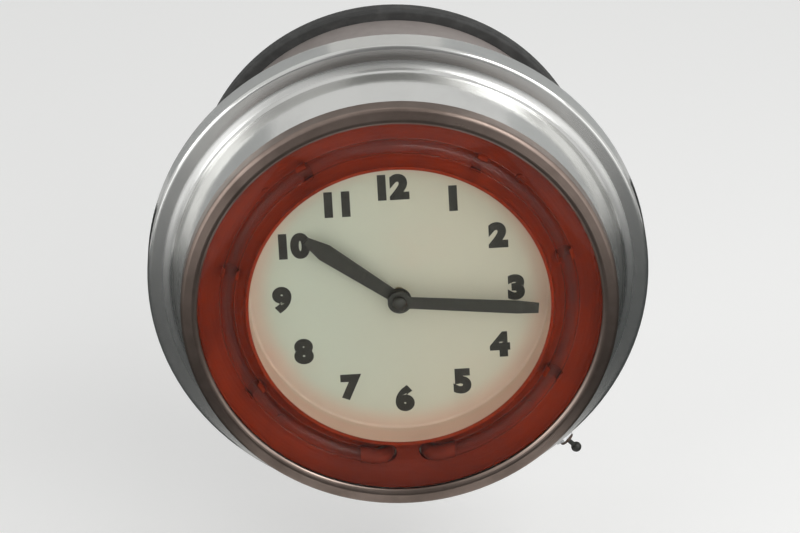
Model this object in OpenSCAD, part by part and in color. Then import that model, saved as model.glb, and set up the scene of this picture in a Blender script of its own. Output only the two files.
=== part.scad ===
// A round neon wall clock: a spun metal case, a red channel with a clear neon ring round a
// cream dial, a synchronous movement, and a deep rear can with the neon transformer.
// Every piece is drawn in the clock's own frame, x to the right, y up and z out from the
// wall, and hung() turns it so that Z is up and the dial looks towards -Y. The origin is
// the middle of the back, on the wall.

/* [Case] */
// Overall diameter, over the drum
case_d = 381; // [379:0.5:384]
// Depth from the wall to the back of the drum
can_depth = 145; // [140:0.5:146]
// Diameter of the rear can
can_d = 292; // [290:0.5:294]
// Diameter of the black ring round the rear edge of the can
wall_ring_d = 310; // [306:1:316]
// Length of the straight part of the drum
drum_len = 22; // [21.5:0.5:26]
// Length of the flare and neck, from the shoulder to the seat of the channel
flare_len = 50; // [48:0.5:52]
// Diameter over the foot of the flare
flare_d = 361; // [358:0.5:362]
// Diameter over the neck
neck_d = 326; // [325.5:0.1:326.2]
// Thickness of the case sheet
sheet = 1.5; // [1.2:0.1:1.6]

/* [Front] */
// Diameter of the opening in the bezel ring
opening_d = 304; // [302:0.5:306]
// Diameter of the dial opening
dial_d = 227; // [226:0.5:230]
// Depth of the dial below the lip of the channel
dial_depth = 25; // [24:0.1:25.5]
// Thickness of the front glass
glass_t = 2; // [2:0.1:2.4]
// Depth of the neon channel
channel_depth = 16; // [15:0.1:17]

/* [Neon] */
// Diameter of the neon ring at the middle of the tube
ring_d = 260; // [259:0.5:262]
// Outer diameter of the tube
tube_d = 12; // [11:0.1:12.4]
// Half of the angle that the ring is open at the bottom, where the tube turns back
gap_angle = 12; // [11.5:0.1:13]

/* [Hands] */
// Length of the minute hand from its centre
minute_len = 105; // [90:1:106]
// Length of the hour hand from its centre
hour_len = 86; // [70:1:90]
// Hour that the hands show at rest
shown_hour = 10; // [1:12]
// Minutes that the hands show at rest
shown_minutes = 16; // [0:59]

/* [Switch] */
// Angle of the toggle switch, clockwise from twelve
switch_angle = 141; // [132:0.5:145]
// Tilt of the toggle at rest
switch_tilt = 12; // [8:0.5:12]
// Distance of the toggle ball beyond the drum
toggle_reach = 17; // [14:0.5:19]

/* [Wall fixing] */
// Spacing of the four wall holes, across and up
wall_pitch = 180; // [170:1:184]
// Diameter of the wall holes
wall_hole_d = 6.5; // [5:0.1:8]

/* [Hidden] */
$fn = 72;

// Radii and heights of the case, heights measured from the wall
case_r = case_d / 2;
can_r = can_d / 2;
flare_r = flare_d / 2;
neck_r = neck_d / 2;
opening_r = opening_d / 2;
lip_r = case_r - 14.5;
wall_ring_r = wall_ring_d / 2;
wall_ring_t = 12;
flange_r = can_r + 14;
back_hole_r = 145;
shoulder_z = can_depth + drum_len;
seat_z = shoulder_z + flare_len + 2;
foot_r = 10;
foot_centre = [flare_r, shoulder_z + foot_r];
cone_top = [neck_r, seat_z - 12];
cone_angle = atan2(flare_r - neck_r, cone_top[1] - foot_centre[1])
    - asin(foot_r / norm(cone_top - foot_centre));
channel_t = 1.2;
gasket_t = 1.6;
gasket_z = seat_z + channel_t;
glass_z = gasket_z + gasket_t;
glass_r = 160.5;
bezel_z = glass_z + glass_t;
skirt_len = 13;
screw_d = 4;

// The recess in the back of the can, for the setting knob
recess_r = 26;
recess_depth = 16;
bush_r = 5;

// The dial and the channel round it
lip_z = gasket_z + 0.8;
dial_r = dial_d / 2;
dial_z = lip_z - dial_depth;
dial_t = 1.2;
pan_back_z = dial_z - dial_t;
channel_in_r = dial_r + 2.5;
channel_mid_r = (channel_in_r + opening_r - 0.2) / 2;
channel_half_w = opening_r - 0.2 - channel_mid_r;
channel_floor_z = lip_z - channel_depth;
bracket_angles = [45, 135, 225, 315];
clip_angles = [30, 75, 120, 240, 285, 330];

// The tube: its ring, its bends and its legs
ring_r = ring_d / 2;
tube_r = tube_d / 2;
tube_wall = 1.1;
weld_gap = 1; // angle left open at each weld of a bend
ring_z = channel_floor_z + 2.6 + tube_r;
bend_r = 11;
leg_x = ring_r * sin(gap_angle) - bend_r * cos(gap_angle);
leg_y = -ring_r * cos(gap_angle) - bend_r * sin(gap_angle);
leg_end_z = 150;
housing_r = 12;
housing_z = [134, 197];

// The movement, its plates and its stack of wheels
plate_t = 2;
plate_w = 76;
plate_top = 38;
plate_bottom = -94;
motion_gap = 6.8;
front_plate_z = pan_back_z - motion_gap - plate_t;
pillar_len = 26;
back_plate_z = front_plate_z - pillar_len - plate_t;
pillar_places = [[32, 30], [-32, 30], [32, -86], [-32, -86]];
post_places = [[32, 14], [-32, 14], [32, -70], [-32, -70]];
arbor_r = 2;
cannon_r = 3;
pipe_r = 4.2;
running_gap = 0.06;
fitting_gap = 0.1;

// Wheels: number of teeth, tooth size and where each pair meets
pressure_angle = 20;
tooth_slack = 0.1;
train_size = 0.7;
centre_teeth = 80;
second_teeth = 75;
leaf_teeth = 10;
second_y = -(centre_teeth + leaf_teeth) * train_size / 2;
motor_y = second_y - (second_teeth + leaf_teeth) * train_size / 2;
cannon_teeth = 12;
minute_teeth = 36;
hour_pinion_teeth = 10;
hour_teeth = 40;
motion_size = 0.8;
stud_reach = (cannon_teeth + minute_teeth) * motion_size / 2;
hour_size = 2 * stud_reach / (hour_pinion_teeth + hour_teeth);
stud_angle = 45;
wheel_addendum = 0.6;
leaf_addendum = 1;
dedendum = 1.2;

// The hands, in front of the dial, with their angles clockwise from twelve
minute_angle = shown_minutes * 6;
hour_angle = shown_hour * 30 + shown_minutes / 2;
hand_t = 1.2;
hour_hand_z = dial_z + 9.6;
minute_hand_z = dial_z + 15;
hub_r = 9;

// The motor, behind the back plate
motor_r = 22;
motor_len = 24;
motor_front_z = back_plate_z - 1;
stator_z = [back_plate_z - 20, back_plate_z - 8];
coil_x = 48;
stator_posts = [[-24, 24], [24, 24], [-24, -24], [24, -24]];

// The setting shaft, from the movement to the knob
shaft_r = 2.5;
arbor_back_z = back_plate_z - 6;
knob_r = 15;
knob_z = [2, 13];

// The transformer, in the lower half of the can
trans_w = 130;
trans_h = 80;
trans_d = 70;
trans_y = -85;
trans_z = sheet;
trans_foot = 14;
bushing_x = 30;
bushing_len = 28;
bushing_r = 7;

// The terminal block, on the right of the can
block_x = 105;
block_size = [22, 64, 18];
lead_r = 1.2;

// The toggle switch, in the wall of the drum
switch_z = can_depth + 11;
bushing_top_r = case_r + 5.5;
body_top_r = case_r - 12;
body_size = [16, 13, 18];
pivot_r = case_r + 1.5;
ball_r = 4;

// Inlet in the wall of the can
inlet_angle = 120;
inlet_z = 40;
grommet_r = 7;

// Routes of the leads, by hand: from one end to the other
hv_route = [
    [30, -85, 99], [30, -86, 105], [28, -96, 112], [22, -113, 117], [17, -125, 122],
    [leg_x, leg_y, 128], [leg_x, leg_y, 134], [leg_x, leg_y, 139]
];
primary_routes = [
    [[93.8, -24, 9], [86, -24, 9], [78, -30, 14], [75, -44, 24], [74, -58, 34], [72, -66, 38],
     [65.4, -68, 38]],
    [[93.8, -16, 9], [84, -16, 10], [77, -24, 20], [74, -40, 34], [74, -54, 46], [72, -64, 50],
     [65.4, -68, 50]]
];
motor_routes = [
    [[44, -50, 131.8], [44, -50, 122], [48, -44, 100], [62, -24, 60], [74, -6, 24], [84, 4, 10],
     [93.8, 4, 9]],
    [[52, -50, 131.8], [52, -50, 122], [57, -42, 100], [70, -20, 62], [80, 2, 28], [86, 12, 12],
     [93.8, 12, 9]]
];
switch_routes = [
    [[116.2, -24, 9], [124, -25, 11], [128, -32, 24], [124, -44, 56], [112, -60, 92],
     [96, -82, 122], [88, -100, 144], [90.5, -110.6, 151], [95.85, -118.35, 151]],
    [[116.2, -14, 9], [124, -15, 11], [130, -22, 24], [127, -36, 60], [114, -54, 100],
     [98, -78, 132], [88, -98, 155], [90.5, -110.6, 161], [95.85, -118.35, 161]]
];

// Turns a piece from the clock's own frame into its place on the wall
module hung() { rotate([90, 0, 0]) children(); }

// Turns a piece so that its x axis points at a clock angle
module towards(angle) { rotate(90 - angle) children(); }

// Points on part of an ellipse about a centre
function arc_points(centre, rx, ry, from, to, steps) = [
    for (i = [0:steps])
        let (a = from + (to - from) * i / steps)
        centre + [rx * cos(a), ry * sin(a)]
];

// Unit normal on the right-hand side of a stretch
function right_of(a, b) = let (d = b - a) [d[1], -d[0]] / norm(d);

// Shift of a corner that keeps a sheet's thickness on both of its sides
function corner_shift(p, i) =
    let (
        last = len(p) - 1,
        n1 = right_of(p[max(i - 1, 0)], p[max(i, 1)]),
        n2 = right_of(p[min(i, last - 1)], p[min(i + 1, last)])
    )
    (n1 + n2) / (1 + n1 * n2);

// Section of a sheet of thickness t, on the right-hand side of an outline
module sheet_section(outline, t) {
    last = len(outline) - 1;
    inner = [for (i = [last:-1:0]) outline[i] + t * corner_shift(outline, i)];
    polygon(concat(outline, inner));
}

// Involute angle at a radius, in degrees
function involute(base, r) = let (a = acos(min(1, base / r))) tan(a) * 180 / PI - a;

// Outline of a toothed wheel, with one tooth centred on the x axis
module toothed(teeth, size, addendum) {
    pitch_r = teeth * size / 2;
    base = pitch_r * cos(pressure_angle);
    root = pitch_r - dedendum * size;
    tip = pitch_r + addendum * size;
    half_tooth = 90 / teeth * (1 - tooth_slack) + involute(base, pitch_r);
    low = max(base, root + 0.01);
    radii = [root, low, (low + tip) / 2, tip];
    polygon([
        for (i = [0:teeth - 1])
            for (side = [-1, 1])
                for (k = side < 0 ? [0:3] : [3:-1:0])
                    let (
                        half = half_tooth - involute(base, max(low, radii[k])),
                        a = i * 360 / teeth + side * half
                    )
                    radii[k] * [cos(a), sin(a)]
    ]);
}

// Angle of a wheel that meshes with a wheel turned to angle a, in the direction beta from it
function mesh_angle(beta, a, teeth, other) =
    beta + 180 - (a - beta) * teeth / other - 180 / other;

// Smooth curve through the points of a route, with n steps to each stretch
function spline(a, b, c, d, t) =
    (2 * b + (c - a) * t + (2 * a - 5 * b + 4 * c - d) * t * t
     + (3 * b - a - 3 * c + d) * t * t * t) / 2;
function smooth_route(p, n) = [
    for (i = [0:len(p) - 2])
        for (k = [0:n - 1])
            spline(p[max(i - 1, 0)], p[i], p[i + 1], p[min(i + 2, len(p) - 1)], k / n),
    p[len(p) - 1]
];

// Lead of radius r along a route, as one closed tube with flat ends
module lead(route, r, across, sides = 8, n = 3) {
    path = smooth_route(route, n);
    count = len(path);
    rings = [
        for (i = [0:count - 1])
            let (
                d = path[min(i + 1, count - 1)] - path[max(i - 1, 0)],
                u = cross(d, across) / norm(cross(d, across)),
                v = cross(d, u) / norm(cross(d, u))
            )
            for (k = [0:sides - 1])
                path[i] + r * (cos(k * 360 / sides) * u + sin(k * 360 / sides) * v)
    ];
    walls = [
        for (i = [0:count - 2])
            for (k = [0:sides - 1])
                let (a = i * sides + k, b = i * sides + (k + 1) % sides)
                for (face = [[a, b, b + sides], [a, b + sides, a + sides]]) face
    ];
    start = [for (k = [1:sides - 2]) [0, k + 1, k]];
    base = (count - 1) * sides;
    end = [for (k = [1:sides - 2]) [base, base + k, base + k + 1]];
    polyhedron(points = rings, faces = concat(walls, start, end));
}

// Screw along +z from its seat: a low round head below the seat and a shank above it
module screw(d, len) {
    translate([0, 0, -0.45 * d])
        difference() {
            cylinder(d = 1.8 * d, h = 0.45 * d);
            translate([-d, -0.1 * d, -0.1]) cube([2 * d, 0.2 * d, 0.2 * d]);
        }
    cylinder(d = d, h = len);
}

// Outline of the case, down the outside from the front flange to the back lip
case_outline = concat(
    [[opening_r + 1.6, seat_z]],
    arc_points([neck_r - 1.6, seat_z - 1.6], 1.6, 1.6, 90, 0, 4),
    [cone_top],
    arc_points(foot_centre, foot_r, foot_r, 180 + cone_angle, 262, 12),
    arc_points([case_r - 3, shoulder_z - 3], 3, 3, 90, 0, 5),
    arc_points([case_r - 2, can_depth + 0.5], 2, 2, 0, -90, 4),
    [[lip_r, can_depth - sheet]]
);

// Outline of the can, from its flange down the outside and into the knob recess
can_outline = concat(
    [[flange_r, can_depth - sheet]],
    [[can_r, can_depth - sheet]],
    arc_points([can_r - 4, 4], 4, 4, 0, -90, 5),
    arc_points([recess_r + 2, 2], 2, 2, 270, 180, 4),
    [[recess_r, recess_depth], [bush_r + fitting_gap, recess_depth]]
);

module case_shell() {
    color("#b9bbb8") hung() difference() {
        rotate_extrude() sheet_section(case_outline, sheet);
        for (i = [0:7])
            towards(22.5 + i * 45) translate([lip_r + 6, 0, can_depth - sheet - 1])
                cylinder(d = screw_d + 0.4, h = sheet + 2);
        towards(switch_angle) translate([case_r - 6, 0, switch_z])
            rotate([0, 90, 0]) cylinder(r = 6.1, h = 8);
        for (a = [120, 180, 240])
            towards(a) translate([neck_r - 4, 0, seat_z - 5])
                rotate([0, 90, 0]) cylinder(d = 3, h = 6);
    }
}

module case_back() {
    color("#8d9090") hung() difference() {
        translate([0, 0, can_depth]) cylinder(r = case_r - sheet - 0.8, h = sheet);
        translate([0, 0, can_depth - 1]) cylinder(r = back_hole_r, h = sheet + 2);
        for (i = [0:7])
            towards(22.5 + i * 45) translate([lip_r + 6, 0, can_depth - 1])
                cylinder(d = screw_d, h = sheet + 2);
        for (i = [0:5])
            towards(i * 60) translate([can_r + 8, 0, can_depth - 1])
                cylinder(d = screw_d, h = sheet + 2);
    }
}

module case_back_screws() {
    color("#9a9a94") hung() for (i = [0:7])
        towards(22.5 + i * 45) translate([lip_r + 6, 0, can_depth - sheet])
            screw(screw_d, 7);
}

module rear_can() {
    color("#a09893") hung() difference() {
        rotate_extrude() sheet_section(can_outline, sheet);
        for (x = [-1, 1], y = [-1, 1])
            translate([x * wall_pitch / 2, y * wall_pitch / 2, -1])
                cylinder(d = wall_hole_d, h = sheet + 2);
        for (i = [0:5])
            towards(i * 60) translate([can_r + 8, 0, can_depth - sheet - 1])
                cylinder(d = screw_d + 0.4, h = sheet + 2);
        towards(inlet_angle) translate([can_r - 5, 0, inlet_z])
            rotate([0, 90, 0]) cylinder(r = grommet_r + fitting_gap, h = 10);
        for (i = [-3:3], z = [84, 100])
            towards(180 + i * 6) translate([can_r - 5, 0, z])
                rotate([0, 90, 0]) cylinder(d = 6, h = 10);
    }
}

// Ring of rounded section pushed over the rear edge of the can, flush with its back
module wall_ring() {
    color("#1e1f1d") hung() rotate_extrude() polygon(concat(
        [[can_r + fitting_gap, wall_ring_t], [can_r + fitting_gap, 0]],
        arc_points([wall_ring_r - 1.5, 1.5], 1.5, 1.5, -90, 0, 3),
        arc_points([wall_ring_r - 3, wall_ring_t - 3], 3, 3, 0, 90, 5)
    ));
}

module can_screws() {
    color("#8f8f88") hung() for (i = [0:5])
        towards(i * 60) translate([can_r + 8, 0, can_depth - sheet]) screw(screw_d, 8);
}

module shaft_bush() {
    color("#b48a3c") hung() translate([0, 0, recess_depth - 1]) difference() {
        union() {
            cylinder(r = bush_r, h = 7);
            translate([0, 0, 1 + sheet]) cylinder(r = bush_r + 3, h = 2);
        }
        translate([0, 0, -1]) cylinder(r = shaft_r + running_gap, h = 10);
    }
}

module inlet_grommet() {
    color("#222222") hung() towards(inlet_angle) translate([can_r, 0, inlet_z])
        rotate([0, 90, 0]) difference() {
            union() {
                translate([0, 0, -4.8]) cylinder(r = grommet_r + 2, h = 3);
                translate([0, 0, -1.8]) cylinder(r = grommet_r, h = 1.8);
                cylinder(r = grommet_r + 2, h = 3);
            }
            translate([0, 0, -5]) cylinder(r = 4, h = 9);
        }
}

// Section of the bezel ring: a crowned front with a skirt over the neck
module bezel_section() {
    inner = neck_r + 0.4;
    outer = inner + 1.4;
    polygon(concat(
        arc_points([opening_r + 4.5, bezel_z], 4.5, 2.4, 180, 90, 5),
        arc_points([outer - 3.5, bezel_z - 1.5], 3.5, 3.2, 75, 0, 5),
        [[outer, bezel_z - skirt_len], [inner, bezel_z - skirt_len], [inner, bezel_z]]
    ));
}

module bezel_ring() {
    color("#5f544b") hung() difference() {
        rotate_extrude() bezel_section();
        for (a = [120, 180, 240])
            towards(a) translate([neck_r - 2, 0, seat_z - 5])
                rotate([0, 90, 0]) cylinder(d = 3.4, h = 8);
    }
}

module bezel_screws() {
    color("#7a736a") hung() for (a = [120, 180, 240])
        towards(a) translate([neck_r + 1.8, 0, seat_z - 5]) rotate([0, -90, 0]) screw(3, 5);
}

module front_glass() {
    color([0.85, 0.92, 0.92, 0.25]) hung() translate([0, 0, glass_z])
        cylinder(r = glass_r, h = glass_t, $fn = 120);
}

module glass_gasket() {
    color("#1e1e1c") hung() translate([0, 0, gasket_z]) difference() {
        cylinder(r = glass_r, h = gasket_t);
        translate([0, 0, -1]) cylinder(r = opening_r + 0.3, h = gasket_t + 2);
    }
}

// Outline of the channel's front, from its inner lip to its outer flange
channel_outline = concat(
    [[dial_r + 0.2, lip_z]],
    arc_points([channel_mid_r, lip_z], channel_half_w, channel_depth, 180,
               360 - asin((lip_z - gasket_z) / channel_depth), 18),
    [[glass_r, gasket_z]]
);

module neon_channel() {
    color("#6a2a18") hung() difference() {
        rotate_extrude() sheet_section(channel_outline, channel_t);
        for (x = [-1, 1])
            translate([x * leg_x, leg_y, channel_floor_z - 4]) cylinder(r = 9, h = 14);
        for (a = bracket_angles)
            towards(a) translate([channel_mid_r, 0, channel_floor_z - 4])
                cylinder(d = screw_d, h = 8);
        for (a = clip_angles)
            towards(a) translate([ring_r, 0, channel_floor_z - 4]) cylinder(d = 3, h = 8);
    }
}

// Cranked strip that joins the underside of the channel to the back of the dial pan
module channel_brackets() {
    color("#8d9090") hung() for (a = bracket_angles)
        towards(a) difference() {
            rotate([90, 0, 0]) translate([0, 0, -7]) linear_extrude(14)
                sheet_section([
                    [dial_r - 16, pan_back_z], [dial_r + 8, pan_back_z],
                    [dial_r + 8, channel_floor_z - channel_t],
                    [channel_mid_r + 8, channel_floor_z - channel_t]
                ], sheet);
            translate([channel_mid_r, 0, channel_floor_z - 6]) cylinder(d = screw_d, h = 8);
        }
}

module channel_screws() {
    color("#6a2a18") hung() for (a = bracket_angles)
        towards(a) translate([channel_mid_r, 0, channel_floor_z + 0.3])
            rotate([180, 0, 0]) screw(3.6, 8);
}

// Section of the glass tube
module tube_section() {
    difference() {
        circle(r = tube_r);
        circle(r = tube_r - tube_wall);
    }
}

// Bead of glass where two lengths of the tube are welded, across the z axis
module weld() {
    difference() {
        cylinder(r = tube_r + 0.4, h = 2.4, center = true);
        cylinder(r = tube_r - tube_wall - 0.2, h = 4, center = true);
    }
}

// Bend and leg of the tube on the right, from the end of the ring back into its housing
module tube_end() {
    rotate(gap_angle - 90) translate([ring_r, 0, ring_z - bend_r]) rotate([180, -90, 0]) {
        rotate(weld_gap) rotate_extrude(angle = 90 - 2 * weld_gap) translate([bend_r, 0])
            tube_section();
        translate([bend_r, 0, 0]) rotate([90, 0, 0]) weld();
        translate([0, bend_r, 0]) rotate([0, 90, 0]) weld();
    }
    translate([leg_x, leg_y, leg_end_z]) {
        difference() {
            cylinder(r = tube_r, h = ring_z - bend_r - leg_end_z - 0.2);
            translate([0, 0, 2]) cylinder(r = tube_r - tube_wall, h = ring_z);
            translate([0, 0, -1]) cylinder(r = 0.8, h = 4);
        }
    }
}

module neon_tube() {
    color([0.9, 0.93, 0.92, 0.5]) hung() {
        translate([0, 0, ring_z]) rotate(gap_angle - 90 + weld_gap / 10)
            rotate_extrude(angle = 360 - 2 * gap_angle - weld_gap / 5) translate([ring_r, 0])
                tube_section();
        tube_end();
        mirror([1, 0, 0]) tube_end();
    }
}

module tube_electrodes() {
    color("#a8a29a") hung() for (side = [-1, 1])
        translate([side * leg_x, leg_y, leg_end_z]) {
            translate([0, 0, 5]) cylinder(r = 4, h = 32);
            translate([0, 0, -9]) cylinder(r = 0.8, h = 15);
        }
}

// Spring clip round the tube, with a stud into the floor of the channel
module tube_clips() {
    color("#6a2a18") hung() for (a = clip_angles)
        towards(a) translate([ring_r, 0, 0]) {
            rotate([90, 0, 0]) translate([0, ring_z, -4]) linear_extrude(8) difference() {
                circle(r = tube_r + 0.95);
                circle(r = tube_r + 0.15);
                translate([-4.5, 0]) square([9, tube_r + 2]);
            }
            translate([0, 0, channel_floor_z - 3]) cylinder(d = 3, h = 4.9);
        }
}

module tube_grommets() {
    color("#6a2a18") hung() for (side = [-1, 1])
        translate([side * leg_x, leg_y, channel_floor_z - 5]) difference() {
            cylinder(r = 9, h = 5.8);
            translate([0, 0, -1]) cylinder(r = tube_r + 1.7, h = 8);
        }
}

module electrode_housings() {
    color("#d9d5c8") hung() for (side = [-1, 1])
        translate([side * leg_x, leg_y, housing_z[0]]) difference() {
            cylinder(r = housing_r, h = housing_z[1] - housing_z[0]);
            translate([0, 0, 6]) cylinder(r = tube_r + 1, h = housing_z[1] - housing_z[0]);
            translate([0, 0, -1]) cylinder(r = 3.2, h = 8);
        }
}

// Folded bridge on the case back that holds the two housings
module electrode_bracket() {
    bridge_z = can_depth + 13;
    half_w = 46;
    color("#8d9090") hung() difference() {
        union() {
            translate([-half_w, leg_y - 32, bridge_z - sheet]) cube([2 * half_w, 50, sheet]);
            for (side = [0, 1]) mirror([side, 0, 0]) {
                translate([half_w - sheet, leg_y - 32, can_depth + sheet])
                    cube([sheet, 18, bridge_z - can_depth - 2 * sheet]);
                translate([half_w, leg_y - 32, can_depth + sheet]) cube([12, 18, sheet]);
            }
        }
        for (side = [-1, 1]) translate([side * leg_x, leg_y, bridge_z - 5])
            cylinder(r = housing_r + fitting_gap, h = 10);
    }
}

module hv_leads() {
    color("#8c2f22") hung() for (side = [0, 1])
        mirror([side, 0, 0]) lead(hv_route, 3, [1, 0, 0], 10, 3);
}

module transformer_case() {
    color("#4a4d48") hung() translate([-trans_w / 2, trans_y - trans_h / 2, trans_z])
        difference() {
            union() {
                cube([trans_w, trans_h, trans_d]);
                for (x = [-trans_foot, trans_w])
                    translate([x, 12, 0]) cube([trans_foot, trans_h - 24, 2]);
            }
            translate([2, 2, 2]) cube([trans_w - 4, trans_h - 4, trans_d - 4]);
            for (x = [-trans_foot / 2, trans_w + trans_foot / 2], y = [22, trans_h - 22])
                translate([x, y, -1]) cylinder(d = 5, h = 5);
            for (side = [-1, 1])
                translate([trans_w / 2 + side * bushing_x, trans_h / 2, trans_d - 5])
                    cylinder(r = bushing_r + fitting_gap, h = 10);
        }
}

// Laminated core with two windows round its middle limb
module transformer_core() {
    color("#5b5f63") hung() translate([0, trans_y, trans_z + trans_d / 2 - 15])
        linear_extrude(30) difference() {
            square([120, 66], center = true);
            for (side = [-1, 1]) translate([0, side * 18]) square([92, 14], center = true);
        }
}

// One winding on the middle limb, from x to x + len
module winding(x, len) {
    translate([x, trans_y, trans_z + trans_d / 2]) rotate([0, 90, 0]) linear_extrude(len)
        difference() {
            square([50, 46], center = true);
            square([30.4, 22.4], center = true);
        }
}

module transformer_coils() {
    color("#8a5a2b") hung() {
        winding(-44, 26);
        winding(-14, 28);
        winding(18, 26);
    }
}

module hv_bushings() {
    color("#e3ded0") hung() for (side = [-1, 1])
        translate([side * bushing_x, trans_y, trans_z + trans_d - 2]) {
            cylinder(r = bushing_r, h = 4);
            for (k = [0:2])
                translate([0, 0, 3 + 6 * k]) cylinder(r = 9, h = 3);
            cylinder(r = 5.5, h = bushing_len - 1.5);
        }
}

module transformer_screws() {
    color("#9a9a94") hung() for (x = [-1, 1], y = [-18, 18])
        translate([x * (trans_w + trans_foot) / 2, trans_y + y, trans_z + 2])
            rotate([180, 0, 0]) screw(5, 2);
}

// Outline of the dial pan's front, from the middle hole over the dial and up its wall
pan_outline = concat(
    [[pipe_r + 1, dial_z]],
    arc_points([dial_r - 2, dial_z + 2], 2, 2, -90, 0, 5),
    [[dial_r, lip_z - channel_t - 0.2]]
);

module dial_pan() {
    color("#c3c2aa") hung() rotate_extrude($fn = 120) sheet_section(pan_outline, dial_t);
}

module dial_posts() {
    color("#a9853c") hung() for (p = post_places)
        translate([p[0], p[1], front_plate_z + plate_t]) difference() {
            cylinder(r = 3.5, h = motion_gap);
            translate([0, 0, -1]) cylinder(r = 1.5, h = motion_gap - 1);
        }
}

module movement_screws() {
    color("#9a9a94") hung() for (p = post_places)
        translate([p[0], p[1], front_plate_z]) screw(3, 6.5);
}

// Plate of the movement with the holes for its pillars
module movement_plate() {
    difference() {
        translate([-plate_w / 2, plate_bottom, 0])
            cube([plate_w, plate_top - plate_bottom, plate_t]);
        for (p = pillar_places) translate([p[0], p[1], -1]) cylinder(r = 2, h = plate_t + 2);
        translate([0, second_y, -1]) cylinder(r = 1 + running_gap, h = plate_t + 2);
    }
}

module front_plate() {
    color("#b8923f") hung() translate([0, 0, front_plate_z]) difference() {
        movement_plate();
        translate([0, 0, -1]) cylinder(r = arbor_r + running_gap, h = plate_t + 2);
        for (p = post_places) translate([p[0], p[1], -1]) cylinder(r = 1.7, h = plate_t + 2);
        towards(stud_angle) translate([stud_reach, 0, -1]) cylinder(r = 1.2, h = plate_t + 2);
    }
}

module back_plate() {
    color("#b8923f") hung() translate([0, 0, back_plate_z]) difference() {
        movement_plate();
        translate([0, 0, -1]) cylinder(r = arbor_r + running_gap, h = plate_t + 2);
        translate([0, motor_y, -1]) cylinder(r = 6, h = plate_t + 2);
        for (p = stator_posts)
            translate([p[0], motor_y + p[1], -1]) cylinder(r = 1.5, h = plate_t + 2);
    }
}

module plate_pillars() {
    color("#a9853c") hung() for (p = pillar_places)
        translate([p[0], p[1], back_plate_z]) {
            translate([0, 0, plate_t]) cylinder(r = 3.5, h = pillar_len);
            cylinder(r = 2, h = pillar_len + 2 * plate_t);
        }
}

module wheel_stud() {
    color("#8f9296") hung() towards(stud_angle) translate([stud_reach, 0, front_plate_z])
        cylinder(r = 1.2, h = plate_t + 6.2);
}

module minute_arbor() {
    color("#8f9296") hung() translate([0, 0, arbor_back_z])
        cylinder(r = arbor_r, h = minute_hand_z + hand_t + 3 - arbor_back_z);
}

// Wheel with a hub and round holes through its web
module train_wheel(teeth, face, hub, bore, hole_r, hole_at) {
    difference() {
        union() {
            linear_extrude(face) toothed(teeth, train_size, wheel_addendum);
            translate([0, 0, -2.5]) cylinder(r = hub, h = face + 5);
        }
        translate([0, 0, -5]) cylinder(r = bore, h = face + 10);
        for (i = [0:4]) rotate(36 + i * 72) translate([hole_at, 0, -1])
            cylinder(r = hole_r, h = face + 2);
    }
}

// Angles of the wheels at rest, worked out from mesh to mesh
second_pinion_angle = mesh_angle(-90, 0, centre_teeth, leaf_teeth);
motor_pinion_angle = mesh_angle(-90, second_pinion_angle, second_teeth, leaf_teeth);
stud_beta = 90 - stud_angle;
minute_wheel_angle = mesh_angle(stud_beta, 0, cannon_teeth, minute_teeth);
hour_wheel_angle = mesh_angle(stud_beta + 180, minute_wheel_angle, hour_pinion_teeth,
                              hour_teeth);

module centre_wheel() {
    color("#c29a43") hung() translate([0, 0, front_plate_z - 11])
        train_wheel(centre_teeth, 2, 5, arbor_r, 6, 16);
}

module second_wheel() {
    color("#c29a43") hung() translate([0, second_y, 0]) {
        rotate(second_pinion_angle) {
            translate([0, 0, back_plate_z + 8])
                train_wheel(second_teeth, 2, 4, 1.5, 5.5, 15);
            translate([0, 0, front_plate_z - 14]) linear_extrude(8) difference() {
                toothed(leaf_teeth, train_size, leaf_addendum);
                circle(r = 1.5);
            }
        }
        translate([0, 0, back_plate_z + plate_t + 0.3]) cylinder(r = 1.5, h = pillar_len - 0.6);
        translate([0, 0, back_plate_z]) cylinder(r = 1, h = pillar_len + 2 * plate_t);
    }
}

module cannon_pinion() {
    bottom = front_plate_z + plate_t + 0.4;
    color("#a88a4a") hung() difference() {
        union() {
            translate([0, 0, bottom]) linear_extrude(2)
                toothed(cannon_teeth, motion_size, leaf_addendum);
            translate([0, 0, bottom + 2])
                cylinder(r = cannon_r, h = minute_hand_z - bottom - 2);
        }
        translate([0, 0, bottom - 1])
            cylinder(r = arbor_r + 0.02, h = minute_hand_z - bottom + 2);
    }
}

module minute_wheel() {
    bottom = front_plate_z + plate_t + 0.6;
    color("#c29a43") hung() towards(stud_angle) translate([stud_reach, 0, bottom])
        rotate(minute_wheel_angle - stud_beta) difference() {
            union() {
                linear_extrude(1.6) toothed(minute_teeth, motion_size, wheel_addendum);
                translate([0, 0, 1.6]) linear_extrude(3.6)
                    toothed(hour_pinion_teeth, hour_size, leaf_addendum);
            }
            translate([0, 0, -1]) cylinder(r = 1.2 + running_gap, h = 8);
        }
}

module hour_wheel() {
    bottom = front_plate_z + plate_t + 3.2;
    color("#c29a43") hung() difference() {
        union() {
            translate([0, 0, bottom]) rotate(hour_wheel_angle) linear_extrude(1.6)
                toothed(hour_teeth, hour_size, wheel_addendum);
            translate([0, 0, bottom]) cylinder(r = pipe_r, h = hour_hand_z - bottom);
        }
        translate([0, 0, bottom - 1])
            cylinder(r = cannon_r + 0.08, h = hour_hand_z - bottom + 2);
    }
}

module motor_pinion() {
    color("#8f9296") hung() translate([0, motor_y, 0]) {
        translate([0, 0, back_plate_z + 5.5]) rotate(motor_pinion_angle) linear_extrude(7)
            toothed(leaf_teeth, train_size, leaf_addendum);
        translate([0, 0, motor_front_z - 6]) cylinder(r = 1.5, h = 13);
    }
}

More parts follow.
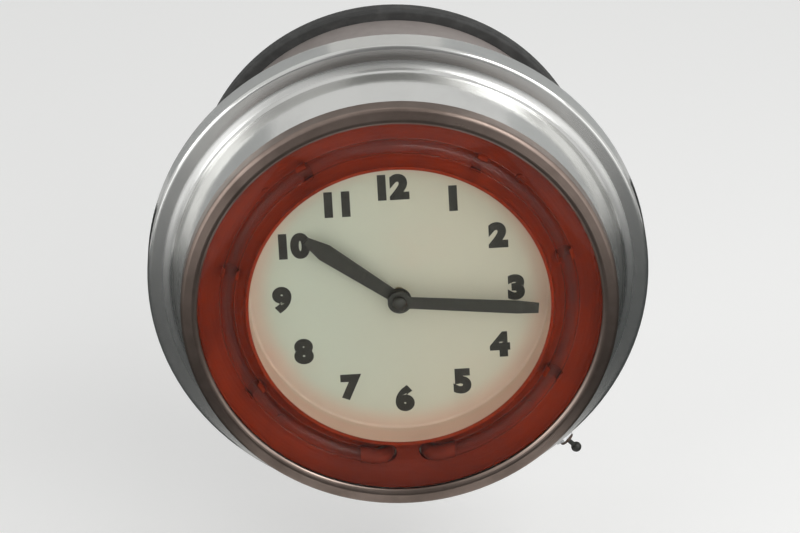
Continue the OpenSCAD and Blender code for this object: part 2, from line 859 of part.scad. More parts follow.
module motor_gearcase() {
    color("#a0612e") hung() translate([0, motor_y, motor_front_z - motor_len]) difference() {
        union() {
            cylinder(r = motor_r, h = motor_len - 2);
            translate([0, 0, motor_len - 2]) cylinder(r = 5, h = 2);
        }
        translate([0, 0, motor_len - 8]) cylinder(r = 1.5 + running_gap, h = 10);
    }
}

// Laminated field round the motor, with a window for the coil
module motor_stator() {
    color("#5b5f63") hung() translate([0, motor_y, stator_z[0]]) difference() {
        translate([-30, -30, 0]) cube([84, 60, stator_z[1] - stator_z[0]]);
        translate([0, 0, -1]) cylinder(r = motor_r, h = 20);
        translate([28, -19, -1]) cube([14, 38, 20]);
        for (p = stator_posts) translate([p[0], p[1], -1]) cylinder(r = 1.5, h = 20);
    }
}

module motor_coil() {
    color("#6b3a1f") hung()
        translate([coil_x, motor_y, (stator_z[0] + stator_z[1]) / 2]) rotate([90, 0, 0])
            translate([0, 0, -17]) linear_extrude(34) difference() {
                square([24, 24], center = true);
                square([12.2, 12.2], center = true);
            }
}

module motor_posts() {
    color("#a9853c") hung() for (p = stator_posts)
        translate([p[0], motor_y + p[1], stator_z[1]]) {
            cylinder(r = 3, h = back_plate_z - stator_z[1]);
            translate([0, 0, stator_z[0] - stator_z[1]])
                cylinder(r = 1.5, h = back_plate_z + plate_t - stator_z[0]);
        }
}

// Flat hand along +x, with a round boss: half widths at the boss, at the widest and at the tip
module hand(len, root, wide, wide_at, tip, bore) {
    difference() {
        union() {
            linear_extrude(hand_t) polygon([
                [0, -root], [wide_at, -wide], [len, -tip], [len, tip], [wide_at, wide], [0, root]
            ]);
            cylinder(r = hub_r, h = hand_t);
        }
        translate([0, 0, -1]) cylinder(r = bore, h = hand_t + 2);
    }
}

module hour_hand() {
    color("#26241a") hung() translate([0, 0, hour_hand_z]) towards(hour_angle)
        hand(hour_len, 4.5, 7, hour_len * 0.8, 3, cannon_r + 0.08);
}

module minute_hand() {
    color("#26241a") hung() translate([0, 0, minute_hand_z]) towards(minute_angle)
        hand(minute_len, 4.6, 5.2, minute_len * 0.85, 4, arbor_r);
}

module hand_nut() {
    color("#3a372b") hung() translate([0, 0, minute_hand_z + hand_t]) difference() {
        rotate_extrude() polygon(concat([[0, 0]], arc_points([0, 1], 5.5, 3.5, 0, 90, 8)));
        translate([0, 0, -1]) cylinder(r = arbor_r, h = 4);
    }
}

module shaft_coupling() {
    bottom = arbor_back_z - 12;
    color("#a9853c") hung() difference() {
        translate([0, 0, bottom]) cylinder(r = 5.5, h = 16);
        translate([0, 0, bottom - 1]) cylinder(r = shaft_r, h = 13);
        translate([0, 0, bottom + 11]) cylinder(r = arbor_r, h = 8);
    }
}

module set_shaft() {
    color("#8f9296") hung() translate([0, 0, knob_z[0] + 3])
        cylinder(r = shaft_r, h = arbor_back_z - knob_z[0] - 3);
}

// Knob with round flutes in its rim
module set_knob() {
    height = knob_z[1] - knob_z[0];
    color("#1c1c1a") hung() translate([0, 0, knob_z[0]]) difference() {
        cylinder(r = knob_r, h = height);
        for (i = [0:11]) rotate(i * 30) translate([knob_r + 1.2, 0, -1])
            cylinder(r = 2.4, h = height + 2);
        translate([0, 0, 3]) cylinder(r = shaft_r, h = height);
    }
}

module terminal_block() {
    color("#2d211b") hung()
        translate([block_x - block_size[0] / 2, -block_size[1] / 2, sheet]) difference() {
            cube(block_size);
            for (i = [0:5]) translate([-1, 10 + i * 9, block_size[2] - 6])
                cube([block_size[0] + 2, 5, 8]);
        }
}

module terminal_screws() {
    color("#b48a3c") hung() for (x = [-6, 6], i = [0:5])
        translate([block_x + x, 12.5 + i * 9 - block_size[1] / 2, sheet + block_size[2] - 6])
            cylinder(r = 2, h = 3);
}

module primary_leads() {
    color("#2b2b2b") hung() for (route = primary_routes) lead(route, lead_r, [0, 0.6, -0.8]);
}

module switch_leads() {
    color("#2b2b2b") hung() for (route = switch_routes) lead(route, lead_r, [0.8, 0.6, 0]);
}

module motor_leads() {
    color("#2b2b2b") hung() for (route = motor_routes) lead(route, lead_r, [0.6, -0.8, 0]);
}

// Puts a piece of the switch in the drum wall, with z pointing out of the drum
module in_drum() {
    hung() towards(switch_angle) translate([0, 0, switch_z]) rotate([0, 90, 0]) children();
}

module switch_body() {
    color("#2a2320") in_drum() difference() {
        union() {
            translate([-body_size[0] / 2, -body_size[1] / 2, body_top_r - body_size[2]])
                cube(body_size);
            cylinder(r = 6, h = bushing_top_r);
            for (x = [-5, 5]) translate([x - 2, -0.5, body_top_r - body_size[2] - 8])
                cube([4, 1, 8]);
        }
        cylinder(r = 6.1, h = body_top_r - body_size[2]);
        translate([0, 0, pivot_r - 4.5]) cylinder(r = 4.2, h = 20);
        translate([0, -10, pivot_r]) rotate([-90, 0, 0]) cylinder(r = 0.75, h = 20);
    }
}

module switch_nut() {
    color("#a7a7a0") in_drum() translate([0, 0, case_r]) difference() {
        cylinder(r = 8.5, h = 2.5, $fn = 6);
        translate([0, 0, -1]) cylinder(r = 6, h = 5);
    }
}

module switch_pin() {
    color("#8f9296") in_drum() translate([0, -5.5, pivot_r]) rotate([-90, 0, 0])
        cylinder(r = 0.75, h = 11);
}

// Ball-ended toggle on a round pivot boss
module switch_lever() {
    reach = case_r + toggle_reach - pivot_r;
    color("#494c43") in_drum() translate([0, 0, pivot_r]) rotate([0, switch_tilt, 0])
        difference() {
            union() {
                sphere(r = 3.2);
                cylinder(r1 = 1.5, r2 = 2, h = reach);
                translate([0, 0, reach]) sphere(r = ball_r);
            }
            translate([0, -5, 0]) rotate([-90, 0, 0]) cylinder(r = 0.8, h = 10);
        }
}

bezel_ring();
bezel_screws();
front_glass();
glass_gasket();
case_shell();
case_back();
case_back_screws();
rear_can();
wall_ring();
can_screws();
shaft_bush();
inlet_grommet();
neon_channel();
channel_brackets();
channel_screws();
neon_tube();
tube_electrodes();
tube_clips();
tube_grommets();
electrode_housings();
electrode_bracket();
hv_leads();
transformer_case();
transformer_core();
transformer_coils();
hv_bushings();
transformer_screws();
dial_pan();
dial_posts();
movement_screws();
front_plate();
back_plate();
plate_pillars();
wheel_stud();
minute_arbor();
centre_wheel();
cannon_pinion();
minute_wheel();
hour_wheel();
second_wheel();
motor_pinion();
motor_gearcase();
motor_stator();
motor_coil();
motor_posts();
hour_hand();
minute_hand();
hand_nut();
shaft_coupling();
set_shaft();
set_knob();
terminal_block();
terminal_screws();
primary_leads();
switch_leads();
motor_leads();
switch_body();
switch_nut();
switch_pin();
switch_lever();
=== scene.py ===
import math

import bpy
import numpy as np
from mathutils import Matrix, Vector


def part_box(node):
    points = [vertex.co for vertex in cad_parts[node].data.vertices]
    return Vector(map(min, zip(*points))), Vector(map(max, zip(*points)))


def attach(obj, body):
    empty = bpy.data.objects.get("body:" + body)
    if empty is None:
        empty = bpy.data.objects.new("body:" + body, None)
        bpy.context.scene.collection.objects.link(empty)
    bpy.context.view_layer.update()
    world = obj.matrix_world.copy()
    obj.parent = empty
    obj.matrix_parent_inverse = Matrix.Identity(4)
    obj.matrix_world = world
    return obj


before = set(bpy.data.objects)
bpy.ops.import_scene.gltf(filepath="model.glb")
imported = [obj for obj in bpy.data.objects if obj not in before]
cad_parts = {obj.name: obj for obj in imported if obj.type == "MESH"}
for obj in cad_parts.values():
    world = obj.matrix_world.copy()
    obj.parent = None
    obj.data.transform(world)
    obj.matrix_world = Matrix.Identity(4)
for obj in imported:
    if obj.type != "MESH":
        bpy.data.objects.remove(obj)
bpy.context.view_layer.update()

# Studio: a plain pale floor far enough below the clock for a soft shadow, a pale sky of even
# light, five soft boxes, and cards round the clock that only polished surfaces mirror. Lengths
# are in metres, the clock looks towards -Y and its back is on the wall at Y = 0.
PALE = (0.785, 0.787, 0.78)
FLOOR_Z = -0.27
FLOOR_HALF = 9.0
FLOOR_LIFT = 0.255
CARD_Z = FLOOR_Z + 0.002
CARD_DARK = (0.015, 0.017, 0.017)
SKY_LEVEL = 0.62
LAMP_AIM = (0, -0.12, 0)


def link(name, data):
    """A new object at the origin, linked to the scene."""
    made = bpy.data.objects.new(name, data)
    bpy.context.scene.collection.objects.link(made)
    return made


def four_sided(name, corners):
    """A flat piece with four corners."""
    mesh = bpy.data.meshes.new(name)
    mesh.from_pydata(corners, [], [(0, 1, 2, 3)])
    return link(name, mesh)


class Shade:
    """One output of a shader node. Arithmetic on it adds Math nodes to the same tree, and
    node() adds any other kind: its settings first, then the value or link of each socket."""

    def __init__(self, tree, output=None):
        self.tree = tree
        self.output = output

    def node(self, kind, settings=None, sockets=None, output=0):
        made = self.tree.nodes.new("ShaderNode" + kind)
        for key, value in (settings or {}).items():
            setattr(made, key, value)
        for key, value in (sockets or {}).items():
            socket = made.inputs[key]
            if isinstance(value, Shade):
                self.tree.links.new(value.output, socket)
            elif socket.type == "RGBA":
                socket.default_value = (*value, 1)
            else:
                socket.default_value = value
        return Shade(self.tree, made.outputs[output])

    def maths(self, operation, *values):
        return self.node("Math", {"operation": operation}, dict(enumerate(values)))

    def __add__(self, other): return self.maths("ADD", self, other)
    def __radd__(self, other): return self.maths("ADD", other, self)
    def __sub__(self, other): return self.maths("SUBTRACT", self, other)
    def __rsub__(self, other): return self.maths("SUBTRACT", other, self)
    def __mul__(self, other): return self.maths("MULTIPLY", self, other)
    def __rmul__(self, other): return self.maths("MULTIPLY", other, self)
    def __abs__(self): return self.maths("ABSOLUTE", self)

    def step(self, low, high):
        """0 below low and 1 above high, smooth between them; low may be above high."""
        if low > high:
            return 1 - self.step(high, low)
        return self.node("MapRange", {"interpolation_type": "SMOOTHSTEP"},
                         {"Value": self, "From Min": low, "From Max": high})

    def near(self, place, width):
        """1 where the value is at place, falling to 0 a width away on each side."""
        return abs(self - place).step(width, 0.0)

    def at(self):
        """The place on the object, in metres."""
        return self.node("TexCoord", output="Object")

    def axes(self):
        """The three coordinates of the place on the object."""
        return [self.node("SeparateXYZ", None, {0: self.at()}, i) for i in range(3)]

    def round(self):
        """Distance from the clock's axis, height out from the wall, and turn about the axis."""
        x, y, z = self.axes()
        radius = self.maths("SQRT", x * x + z * z)
        return radius, 0 - y, self.maths("ARCTAN2", x, z)

    def turned(self, pitch, along, detail):
        """Rings left by a turning tool: noise stretched round the clock's axis, pitch cells to
        the metre across the rings and along cells to the radian round them."""
        radius, height, turn_about = self.round()
        place = self.vector(radius * pitch, height * pitch, turn_about * along)
        return self.noise(place, 1.0, detail)

    def vector(self, x, y, z):
        return self.node("CombineXYZ", None, {0: x, 1: y, 2: z})

    def noise(self, place, scale, detail, roughness=0.55):
        """Fractal noise from 0 to 1, scale cells to the metre."""
        return self.node("TexNoise", None, {"Vector": place, "Scale": scale, "Detail": detail,
                                            "Roughness": roughness}, "Fac")

    def blend(self, amount, first, second):
        """Colour that goes from first to second as the amount goes from 0 to 1."""
        return self.node("Mix", {"data_type": "RGBA"}, {0: amount, 6: first, 7: second}, 2)

    def bump(self, height, depth):
        """Normal of a surface whose relief is height, from 0 to 1, times depth in metres."""
        return self.node("Bump", None, {"Height": height, "Distance": depth, "Strength": 1.0})


def material(name, varying, **constants):
    """A Principled material: constants sit on its sockets, varying(shade) gives the links."""
    made = bpy.data.materials.new(name)
    made.use_nodes = True
    shader = made.node_tree.nodes["Principled BSDF"]
    for key, value in constants.items():
        socket = shader.inputs[key.replace("_", " ")]
        socket.default_value = (*value, 1) if socket.type == "RGBA" else value
    for key, value in varying(Shade(made.node_tree)).items():
        made.node_tree.links.new(value.output, shader.inputs[key.replace("_", " ")])
    return made


def lifted_floor(s):
    """The camera sees the floor a little lighter than the lamps make it."""
    return {"Emission_Color": s.node("LightPath", output="Is Camera Ray") * FLOOR_LIFT}


def flat(left, right, near, far, z=CARD_Z):
    """Corners of a card that lies on the floor."""
    return [(left, near, z), (right, near, z), (right, far, z), (left, far, z)]


floor = four_sided("floor", flat(-FLOOR_HALF, FLOOR_HALF, -FLOOR_HALF, FLOOR_HALF, FLOOR_Z))
floor.data.materials.append(material(
    "floor", lifted_floor, Base_Color=PALE, Roughness=0.9, Specular_IOR_Level=0.1,
    Emission_Strength=1.0))

world = bpy.data.worlds.new("sky")
bpy.context.scene.world = world
world.use_nodes = True
world.node_tree.nodes.clear()
sky = Shade(world.node_tree)
seen = sum((sky.node("LightPath", output=ray + " Ray") for ray in
            ("Is Camera", "Is Glossy", "Is Transmission")), 0)
level = SKY_LEVEL + (1 - SKY_LEVEL) * sky.maths("MINIMUM", seen, 1)
shown = sky.node("Background", None, {"Color": PALE, "Strength": level})
out = world.node_tree.nodes.new("ShaderNodeOutputWorld")
world.node_tree.links.new(shown.output, out.inputs[0])


def soft_box(name, towards, distance, size, watts, mirrored=True):
    """Square area lamp, in a direction from the clock's middle and turned towards it. With
    mirrored=False it lights the clock, but polished metal doesn't show it."""
    lamp = bpy.data.lights.new(name, "AREA")
    lamp.shape = "SQUARE"
    lamp.size = size
    lamp.energy = watts
    holder = link(name, lamp)
    outward = Vector(towards).normalized()
    holder.location = Vector(LAMP_AIM) + outward * distance
    holder.rotation_euler = outward.to_track_quat("Z", "Y").to_euler()
    holder.visible_glossy = mirrored


soft_box("key", (0.62, -0.42, 0.69), 1.9, 0.9, 11)
soft_box("side", (-0.86, -0.34, 0.40), 1.9, 0.7, 4)
soft_box("front", (0.38, -1.0, 0.45), 3.2, 1.8, 26, mirrored=False)
soft_box("low_right", (0.66, -0.75, 0.13), 2.0, 1.1, 3)
soft_box("low_left", (-0.68, -0.73, 0.12), 2.0, 1.1, 4)


def card(name, corners, colour=CARD_DARK):
    """Matt card that the camera doesn't see and that casts no shadow, for the metal to mirror."""
    made = four_sided(name, corners)
    made.data.materials.append(material(name, lambda s: {}, Base_Color=colour, Roughness=1.0))
    made.visible_camera = made.visible_diffuse = made.visible_shadow = False
    made.visible_transmission = False


def upright(left, right, y, low, high):
    """Corners of a card that stands across the view."""
    return [(left, y, low), (right, y, low), (right, y, high), (left, y, high)]


LOW_TOP = -0.09
BEHIND_Y, BEHIND_IN = 0.45, 0.16
FRONT_HALF, FRONT_BREAK = 0.19, -0.80
AHEAD_HALF, AHEAD_Y, AHEAD_TOP = 0.42, -1.60, 1.20
OVER_Y, OVER_Z = -0.50, 2.40
card("card_left", upright(-0.9, -0.12, 0.25, FLOOR_Z, LOW_TOP))
card("card_right", upright(0.12, 0.9, 0.25, FLOOR_Z, LOW_TOP))
card("card_top", upright(-BEHIND_IN, BEHIND_IN, BEHIND_Y, 0.20, 0.90), (0.66, 0.66, 0.65))
card("card_behind_left", upright(-1.0, -BEHIND_IN, BEHIND_Y, LOW_TOP, 0.60), (0.46, 0.47, 0.47))
card("card_behind_right", upright(BEHIND_IN, 1.0, BEHIND_Y, LOW_TOP, 0.60), (0.50, 0.51, 0.51))
card("card_front", flat(-FRONT_HALF, FRONT_HALF, -0.43, FRONT_BREAK))
card("card_front_far", [(-FRONT_HALF, FRONT_BREAK, CARD_Z), (FRONT_HALF, FRONT_BREAK, CARD_Z),
                        (0.10, -1.11, CARD_Z), (-0.10, -1.11, CARD_Z)])
card("card_floor_left", flat(-1.3, -0.192, 0.24, -1.0), (0.10, 0.105, 0.105))
card("card_floor_right", flat(0.192, 1.3, 0.24, -1.05), (0.06, 0.066, 0.066))
card("card_ahead", upright(-AHEAD_HALF, AHEAD_HALF, AHEAD_Y, FLOOR_Z, AHEAD_TOP),
     (0.25, 0.25, 0.25))
card("card_over", [(-AHEAD_HALF, AHEAD_Y, AHEAD_TOP), (AHEAD_HALF, AHEAD_Y, AHEAD_TOP),
                   (AHEAD_HALF, OVER_Y, OVER_Z), (-AHEAD_HALF, OVER_Y, OVER_Z)],
     (0.50, 0.50, 0.49))

# Camera: at the photograph's angle, above the clock, with the clock a little turned in the
# picture. The middle of the front glass is at a known pixel, and 0.75 mm there is one pixel.
ELEVATION = math.radians(25.4)
ROLL = math.radians(-3.2)
PIXEL = 0.00075
IMAGE_W, IMAGE_H = 800, 533
FRONT_PX = (400.0, 309.3)
DISTANCE = 4.0
SENSOR = 36.0
camera_data = bpy.data.cameras.new("camera")
camera_data.sensor_width = SENSOR
camera_data.lens = SENSOR * DISTANCE / (IMAGE_W * PIXEL)
camera = link("camera", camera_data)
back = Vector((0, -math.cos(ELEVATION), math.sin(ELEVATION)))
up_level = Vector((0, math.sin(ELEVATION), math.cos(ELEVATION)))
right = Vector((math.cos(ROLL), 0, 0)) + math.sin(ROLL) * up_level
up = math.cos(ROLL) * up_level - Vector((math.sin(ROLL), 0, 0))
front_middle = Vector((0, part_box("front_glass")[0].y, 0))
aim = (front_middle + right * PIXEL * (IMAGE_W / 2 - FRONT_PX[0])
       + up * PIXEL * (FRONT_PX[1] - IMAGE_H / 2))
turn = Matrix((right, up, back)).transposed().to_4x4()
camera.matrix_world = Matrix.Translation(aim + back * DISTANCE) @ turn
bpy.context.scene.camera = camera
bpy.context.scene.view_settings.view_transform = "Standard"


def dress(made, *nodes):
    """Gives CAD nodes a material; they stay where they are."""
    for name in nodes:
        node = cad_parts[name]
        node.data.materials.clear()
        node.data.materials.append(made)


# Case: one spun shell of polished metal, with the neck, the flare, the shoulder and the drum.
# The spinning tool leaves fine rings round it. Its flat shoulder is satin, and darker with
# painted shade along its crease.
CASE_METAL = (0.69, 0.69, 0.675)
CASE_DULL = (0.50, 0.50, 0.49)
SHOULDER_OUT = 0.1685
SHOULDER_HALF = 0.003


def spun_metal(s):
    rings = s.turned(900, 2.5, 4.0)
    haze = s.noise(s.at(), 14.0, 5.0)
    satin_shaded_shoulder = s.round()[1].near(SHOULDER_OUT, SHOULDER_HALF)
    # The darker colour along the shoulder is painted shade in its crease; the haze is random
    # dullness.
    haze_and_shoulder_shade = s.maths("MINIMUM", haze.step(0.42, 0.75) * 0.5 + satin_shaded_shoulder * 0.6, 1.0)
    return {
        "Base_Color": s.blend(haze_and_shoulder_shade, CASE_METAL, CASE_DULL),
        "Roughness": 0.07 + haze * 0.07 + rings * 0.05 + satin_shaded_shoulder * 0.23,
        "Normal": s.bump(rings, 0.00002),
    }


dress(material("spun_metal", spun_metal, Metallic=1.0), "case_shell")

# Bezel: a crowned ring with a skirt over the neck, of browned polished metal. It is turned, so
# it has fine rings too, and its brown is patchy.
BEZEL_BROWN = (0.30, 0.235, 0.203)
BEZEL_DARK = (0.20, 0.155, 0.132)


def browned_metal(s):
    rings = s.turned(1100, 3.0, 3.0)
    patches = s.noise(s.at(), 22.0, 5.0)
    return {
        "Base_Color": s.blend(patches.step(0.38, 0.72), BEZEL_BROWN, BEZEL_DARK),
        "Roughness": 0.20 + patches * 0.14 + rings * 0.06,
        "Normal": s.bump(rings, 0.00002),
    }


dress(material("browned_metal", browned_metal, Metallic=1.0), "bezel_ring", "bezel_screws")

# Rear can: deep-drawn steel sheet in a pinkish grey enamel, dusty and a little worn. The enamel
# has a fine peel, as sprayed.
WALL_GREY = (0.35, 0.312, 0.295)
WALL_WORN = (0.265, 0.232, 0.218)


def can_enamel(s):
    peel = s.noise(s.at(), 420.0, 2.0)
    dust = s.noise(s.at(), 26.0, 6.0)
    return {
        "Base_Color": s.blend(dust.step(0.35, 0.75), WALL_GREY, WALL_WORN),
        "Roughness": 0.34 + dust * 0.22,
        "Normal": s.bump(peel, 0.00004),
    }


dress(material("can_enamel", can_enamel), "rear_can")

# Plated steel: the case back, screws and brackets, zinc plated with a slight cloud and the
# small crystals of the plating.
ZINC = (0.56, 0.57, 0.55)
ZINC_DULL = (0.36, 0.37, 0.36)


def zinc_plate(s):
    cloud = s.noise(s.at(), 60.0, 6.0, 0.7)
    spangle = s.node("TexVoronoi", None, {"Vector": s.at(), "Scale": 240.0}, "Color")
    grain = s.node("SeparateXYZ", None, {0: spangle})
    return {
        "Base_Color": s.blend(cloud.step(0.35, 0.7) * 0.8 + grain * 0.2, ZINC, ZINC_DULL),
        "Roughness": 0.30 + cloud * 0.18,
    }


dress(material("zinc_plate", zinc_plate, Metallic=1.0), "case_back", "case_back_screws",
      "can_screws", "channel_brackets", "electrode_bracket", "transformer_screws",
      "movement_screws")

# Channel: pressed sheet in brown-red enamel, a trough that goes round the dial, with its
# screws and the tube's clips and grommets painted over. It is deeper in colour at the bottom.
RED = (0.285, 0.026, 0.005)
RED_DEEP = (0.205, 0.018, 0.004)
RED_LOW = (0.175, 0.023, 0.011)
RED_LOW_FROM = -0.105
RED_LOW_TO = -0.155
RED_GLOSS = 0.04


def red_enamel(s):
    pool = s.noise(s.at(), 18.0, 5.0)
    peel = s.noise(s.at(), 380.0, 2.0)
    upper = s.blend(pool.step(0.35, 0.7), RED, RED_DEEP)
    low = s.axes()[2].step(RED_LOW_FROM, RED_LOW_TO)
    return {
        "Base_Color": s.blend(low, upper, RED_LOW),
        "Roughness": 0.22 + pool * 0.12,
        "Normal": s.bump(peel, 0.00005),
    }


dress(material("red_enamel", red_enamel, Specular_IOR_Level=RED_GLOSS),
      "neon_channel", "channel_screws", "tube_clips", "tube_grommets")

# Neon tube: clear blown glass, not lit, with its electrodes in the two legs. Its ends, where
# it turns back through the channel, are blocked out with the channel's enamel. Its index is
# low too, because the tube can hardly be told from the channel in the photograph.
GLASS = (0.985, 0.94, 0.92)
TUBE_INDEX = 1.14
BLOCKED_HALF = 0.036
BLOCKED_EDGE = 0.0006
BLOCKED_BELOW = -0.118
BLOCKED_FADE = 0.0005


def blown_glass(s):
    ripple = s.noise(s.at(), 60.0, 2.0)
    return {"Normal": s.bump(ripple, 0.0001)}


def blocked_tube():
    """Glass, and over the ends of the tube the channel's paint with a brushed edge."""
    made = material("blown_glass", blown_glass, Base_Color=GLASS, Roughness=0.03,
                    Transmission_Weight=1.0, IOR=TUBE_INDEX)
    tree = made.node_tree
    s = Shade(tree)
    across, _, up_from_middle = s.axes()
    brushed = s.noise(s.at(), 300.0, 2.0) * BLOCKED_EDGE
    painted = ((abs(across) + brushed).step(BLOCKED_HALF + BLOCKED_EDGE, BLOCKED_HALF)
               * up_from_middle.step(BLOCKED_BELOW, BLOCKED_BELOW - BLOCKED_FADE))
    paint = s.node("BsdfPrincipled", None, {"Base Color": RED_LOW, "Roughness": 0.3,
                                            "Specular IOR Level": RED_GLOSS})
    glass = Shade(tree, tree.nodes["Principled BSDF"].outputs[0])
    both = s.node("MixShader", None, {0: painted, 1: glass, 2: paint})
    tree.links.new(both.output, tree.nodes["Material Output"].inputs["Surface"])
    return made


dress(blocked_tube(), "neon_tube")

# Bright steel: the stud, arbor and motor pinion of the movement, the setting shaft, and the
# nut and pin of the switch.
BRIGHT = (0.62, 0.63, 0.64)
BRIGHT_DULL = (0.40, 0.41, 0.42)


def bright_steel(s):
    grain = s.noise(s.at(), 300.0, 4.0)
    return {
        "Base_Color": s.blend(grain.step(0.4, 0.8), BRIGHT, BRIGHT_DULL),
        "Roughness": 0.20 + grain * 0.15,
    }


dress(material("bright_steel", bright_steel, Metallic=1.0), "wheel_stud", "minute_arbor",
      "motor_pinion", "set_shaft", "switch_nut", "switch_pin")

# Front glass: flat clear pane on a rubber gasket, with a little haze on it. Its index is lower
# than that of real glass, so that it mirrors as little as in the photograph.
WINDOW = (0.97, 0.98, 0.97)
WINDOW_INDEX = 1.25


def window_glass(s):
    haze = s.noise(s.at(), 9.0, 5.0)
    return {"Roughness": haze.step(0.55, 0.95) * 0.02}


dress(material("window_glass", window_glass, Base_Color=WINDOW, Transmission_Weight=1.0,
               IOR=WINDOW_INDEX), "front_glass")

# Dial: a pressed pan in aged cream enamel, greener on the left. Round its rim and up its wall
# it is warmer with a painted reflection of the red channel, and in some random aged patches.
CREAM = (0.60, 0.57, 0.44)
CREAM_GREEN = (0.565, 0.60, 0.48)
# Painted reflection of the red channel on the cream.
CREAM_RED_BOUNCE = (0.67, 0.44, 0.33)
RIM_RADII = (0.094, 0.1125)
RIM_HEIGHTS = (0.198, 0.206)


def cream_enamel(s):
    radius, height, _ = s.round()
    x = s.axes()[0]
    age = s.noise(s.at(), 16.0, 6.0)
    speck = s.noise(s.at(), 900.0, 2.0)
    face = s.blend(x.step(0.05, -0.09), CREAM, CREAM_GREEN)
    # Pink painted reflection of the red channel round the rim and up the wall, plus random aged
    # patches.
    red_bounce_and_age = s.maths("MINIMUM", radius.step(*RIM_RADII) * 0.7 + height.step(*RIM_HEIGHTS) * 0.3
                  + age.step(0.55, 0.8) * 0.2, 1.0)
    return {
        "Base_Color": s.blend(red_bounce_and_age, face, CREAM_RED_BOUNCE),
        "Roughness": 0.42 + age * 0.2,
        "Normal": s.bump(speck, 0.00002),
    }


dress(material("cream_enamel", cream_enamel), "dial_pan")

# Numbers: plain figures printed in black on the dial, 21 to 22 mm tall once their outlines are
# grown by NUMBER_BOLD, and upright all the way round. A few stand a little off their places.
# The font's outlines break at some sizes and growths, and are whole at these two.
FONT_SIZE = 0.024965707
NUMBER_R = 0.0885
NUMBER_BOLD = 0.0020
NUMBER_SHIFT = {4: (-0.0025, -0.003), 7: (0.004, 0.0), 8: (0.002, 0.0), 11: (0.0015, 0.0)}
FIGURE_SPACING = 1.05
FIGURE_STEPS = 6
INK_HALF = 0.00008
INK_OUT = 0.0001
PAN_SHEET = 0.0012
INK = (0.018, 0.016, 0.009)
INK_WORN = (0.05, 0.045, 0.03)


def number_mesh(text, x, y, z):
    """One number as a thin solid with its middle at (x, y, z), facing the front."""
    curve = bpy.data.curves.new("number", "FONT")
    curve.body = text
    curve.size = FONT_SIZE
    curve.offset = NUMBER_BOLD
    curve.extrude = INK_HALF
    curve.space_character = FIGURE_SPACING
    curve.resolution_u = FIGURE_STEPS
    drawn = link("number", curve)
    bpy.context.view_layer.update()
    mesh = bpy.data.meshes.new_from_object(drawn)
    bpy.data.objects.remove(drawn)
    drawn_at = np.empty(len(mesh.vertices) * 3)
    mesh.vertices.foreach_get("co", drawn_at)
    drawn_at = drawn_at.reshape(-1, 3)
    across, upwards, out = (drawn_at - (drawn_at.min(0) + drawn_at.max(0)) / 2).T
    placed = np.column_stack([across + x, y - out, upwards + z])
    mesh.vertices.foreach_set("co", placed.ravel())
    return mesh


def printing_ink(s):
    wear = s.noise(s.at(), 500.0, 4.0)
    return {
        "Base_Color": s.blend(wear.step(0.55, 0.8), INK, INK_WORN),
        "Roughness": 0.45 + wear * 0.2,
    }


ink = material("printing_ink", printing_ink)
dial_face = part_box("dial_pan")[1].y - PAN_SHEET
for hour in range(1, 13):
    angle = math.radians(hour * 30)
    right_by, up_by = NUMBER_SHIFT.get(hour, (0.0, 0.0))
    mesh = number_mesh(str(hour), NUMBER_R * math.sin(angle) + right_by, dial_face - INK_OUT,
                       NUMBER_R * math.cos(angle) + up_by)
    number = link(f"dial_number_{hour}", mesh)
    mesh.materials.clear()
    mesh.materials.append(ink)
    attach(number, "case")

# Hands: stamped steel in black enamel, rubbed a little grey, with the nut that holds the minute
# hand.
HAND_BLACK = (0.022, 0.020, 0.012)
HAND_RUBBED = (0.05, 0.046, 0.032)


def hand_enamel(s):
    wear = s.noise(s.at(), 260.0, 4.0)
    return {
        "Base_Color": s.blend(wear.step(0.5, 0.8), HAND_BLACK, HAND_RUBBED),
        "Roughness": 0.35 + wear * 0.2,
    }


dress(material("hand_enamel", hand_enamel), "hour_hand", "minute_hand", "hand_nut")

# Movement: brass plates, pillars and wheels, tarnished in patches, and the other brass pieces,
# such as the dial's posts, the shaft's bush and the terminal screws.
BRASS = (0.70, 0.52, 0.24)
BRASS_TARNISHED = (0.42, 0.29, 0.13)


def tarnished_brass(s):
    grain = s.noise(s.at(), 240.0, 4.0)
    tarnish = s.noise(s.at(), 40.0, 5.0)
    return {
        "Base_Color": s.blend(tarnish.step(0.4, 0.8), BRASS, BRASS_TARNISHED),
        "Roughness": 0.24 + grain * 0.18,
    }


dress(material("turned_brass", tarnished_brass, Metallic=1.0), "dial_posts", "front_plate",
      "back_plate", "plate_pillars", "centre_wheel", "cannon_pinion", "minute_wheel",
      "hour_wheel", "second_wheel", "motor_posts", "shaft_coupling", "shaft_bush",
      "terminal_screws")

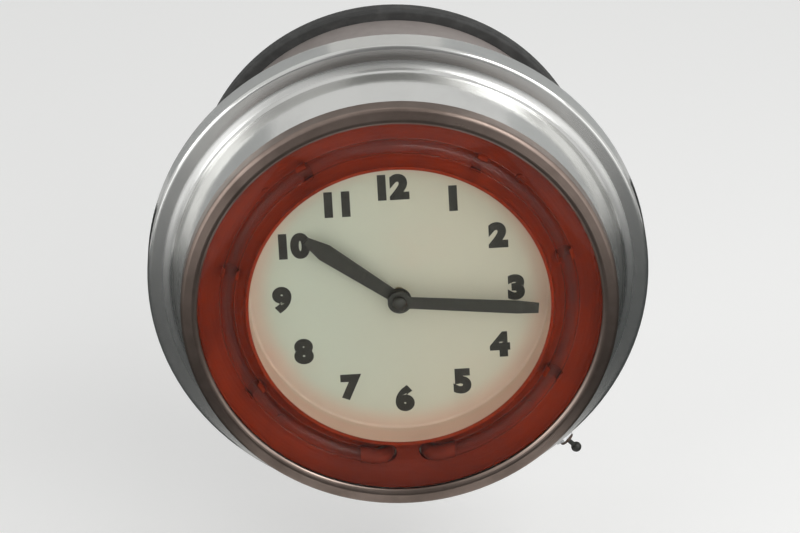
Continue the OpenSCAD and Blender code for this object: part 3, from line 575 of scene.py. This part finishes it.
# Rubber, porcelain, moulded, painted and wound pieces: each has two tones of its colour, a
# roughness and the scale of its clouds, in cells to the metre.
def plain(name, colour, dark, roughness, scale, **constants):
    """Material with cloudy colour between two tones and a roughness that follows it."""
    def varying(s):
        cloud = s.noise(s.at(), scale, 5.0)
        return {
            "Base_Color": s.blend(cloud.step(0.35, 0.75), colour, dark),
            "Roughness": roughness + cloud * 0.15,
            "Normal": s.bump(s.noise(s.at(), scale * 8, 3.0), 0.00003),
        }
    return material(name, varying, **constants)


dress(plain("moulded_rubber", (0.035, 0.035, 0.034), (0.06, 0.06, 0.058), 0.6, 120.0),
      "glass_gasket", "inlet_grommet", "wall_ring")
dress(plain("glazed_porcelain", (0.80, 0.78, 0.71), (0.70, 0.67, 0.58), 0.10, 60.0),
      "electrode_housings", "hv_bushings")
dress(plain("dark_bakelite", (0.045, 0.026, 0.017), (0.075, 0.045, 0.028), 0.25, 90.0),
      "set_knob", "terminal_block", "switch_body")
dress(plain("toggle_black", (0.016, 0.017, 0.014), (0.03, 0.032, 0.027), 0.42, 200.0),
      "switch_lever")
dress(plain("nickel", (0.62, 0.60, 0.55), (0.42, 0.40, 0.36), 0.3, 160.0, Metallic=1.0),
      "tube_electrodes")
dress(plain("grey_enamel", (0.065, 0.07, 0.062), (0.10, 0.105, 0.095), 0.35, 50.0),
      "transformer_case")
dress(plain("coppered_steel", (0.55, 0.33, 0.17), (0.32, 0.19, 0.10), 0.3, 80.0, Metallic=1.0),
      "motor_gearcase")
dress(plain("iron_laminations", (0.23, 0.24, 0.25), (0.14, 0.14, 0.15), 0.45, 180.0,
            Metallic=0.9), "transformer_core", "motor_stator")
dress(plain("varnished_winding", (0.32, 0.14, 0.05), (0.20, 0.08, 0.03), 0.35, 300.0),
      "transformer_coils", "motor_coil")
dress(plain("red_lead", (0.27, 0.03, 0.02), (0.18, 0.02, 0.015), 0.4, 200.0), "hv_leads")
dress(plain("black_lead", (0.03, 0.03, 0.03), (0.05, 0.05, 0.05), 0.5, 200.0),
      "primary_leads", "switch_leads", "motor_leads")
